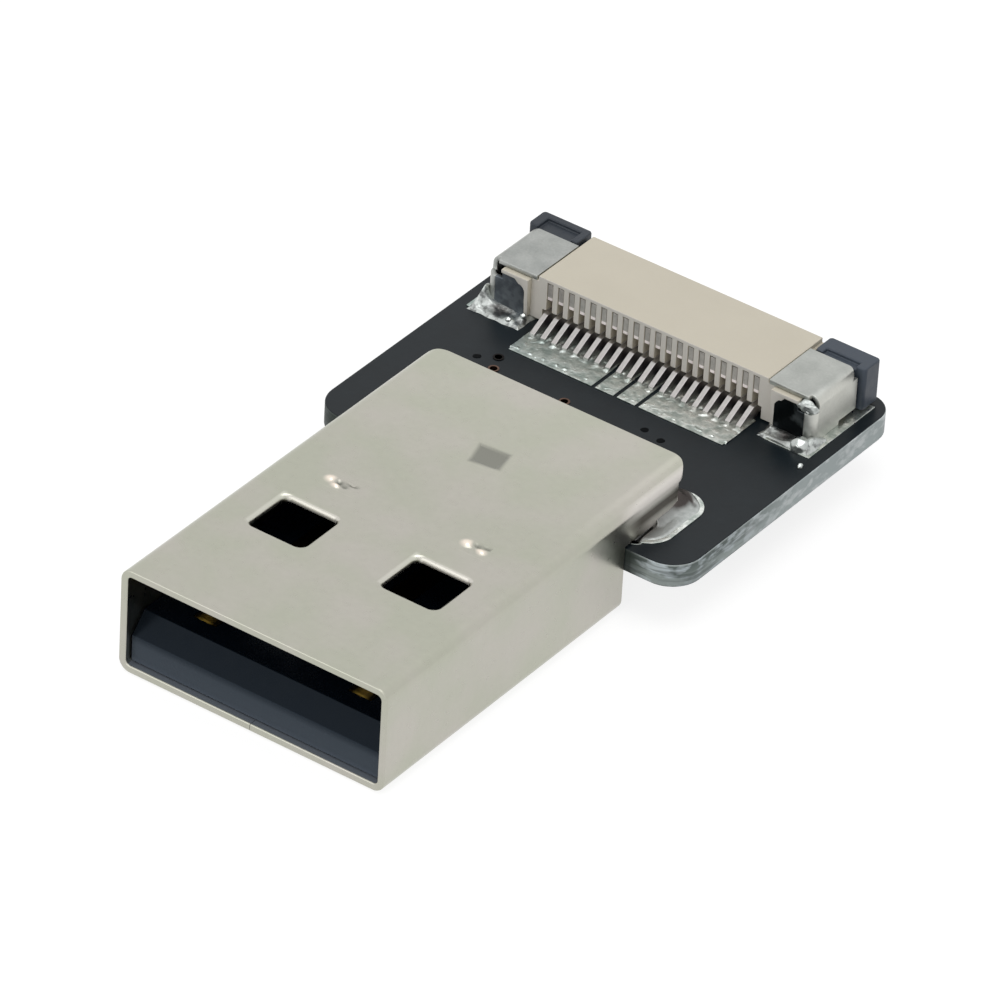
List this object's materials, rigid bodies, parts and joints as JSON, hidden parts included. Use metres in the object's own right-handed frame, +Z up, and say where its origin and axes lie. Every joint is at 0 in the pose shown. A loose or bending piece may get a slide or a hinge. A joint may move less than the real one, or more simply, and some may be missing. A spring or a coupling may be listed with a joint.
{
  "type": "board-mounted usb-a plug with a flat-cable connector",
  "caption": "Metal USB-A plug set into the front edge of a small black circuit board, with a locking flat-cable connector at the board's rear edge.",
  "frame": {"origin": "middle of the plug's mouth, on the underside of its shell", "axes": "+X across the plug, +Y from the mouth back to the cable connector, +Z up"},
  "size_m": [0.0168, 0.0288, 0.0048],
  "materials": {
    "nickel_steel": "satin nickel plate",
    "black_plastic": "satin",
    "gold_plate": "gold plated",
    "solder_mask": "black solder mask over glass-fibre laminate",
    "copper": "bare copper",
    "tinned_pad": "tinned copper",
    "solder": "solder",
    "tinned_bronze": "tinned bronze",
    "tinned_steel": "tinned sheet",
    "ivory_plastic": "matte",
    "slate_plastic": "satin"
  },
  "bodies": {
    "board": {"pcb": "solder_mask", "usb_shell": "nickel_steel", "usb_insulator": "black_plastic", "usb_contact_1": "gold_plate", "usb_contact_2": "gold_plate", "usb_contact_3": "gold_plate", "usb_contact_4": "gold_plate", "usb_pad_1": "tinned_pad", "usb_pad_2": "tinned_pad", "usb_pad_3": "tinned_pad", "usb_pad_4": "tinned_pad", "slot_plating_left": "tinned_pad", "slot_plating_right": "tinned_pad", "leg_solder_left": "solder", "leg_solder_right": "solder", "via_barrels": "copper", "ffc_housing": "ivory_plastic", "ffc_contact_01": "tinned_bronze", "ffc_contact_02": "tinned_bronze", "ffc_contact_03": "tinned_bronze", "ffc_contact_04": "tinned_bronze", "ffc_contact_05": "tinned_bronze", "ffc_contact_06": "tinned_bronze", "ffc_contact_07": "tinned_bronze", "ffc_contact_08": "tinned_bronze", "ffc_contact_09": "tinned_bronze", "ffc_contact_10": "tinned_bronze", "ffc_contact_11": "tinned_bronze", "ffc_contact_12": "tinned_bronze", "ffc_contact_13": "tinned_bronze", "ffc_contact_14": "tinned_bronze", "ffc_contact_15": "tinned_bronze", "ffc_contact_16": "tinned_bronze", "ffc_contact_17": "tinned_bronze", "ffc_contact_18": "tinned_bronze", "ffc_contact_19": "tinned_bronze", "ffc_contact_20": "tinned_bronze", "ffc_pad_strip_1": "tinned_pad", "ffc_pad_strip_2": "tinned_pad", "ffc_pad_strip_3": "tinned_pad", "ffc_pad_strip_4": "tinned_pad", "nail_left": "tinned_steel", "nail_right": "tinned_steel", "nail_pad_left": "tinned_pad", "nail_pad_right": "tinned_pad", "nail_solder_left": "solder", "nail_solder_right": "solder"},
    "cable_lock": {"slider": "slate_plastic"}
  },
  "joints": [
    {"name": "cable_lock_slide", "type": "slide", "parent": "board", "child": "cable_lock", "axis": [0, 1, 0], "range_m": [0, 0.0011]}
  ]
}
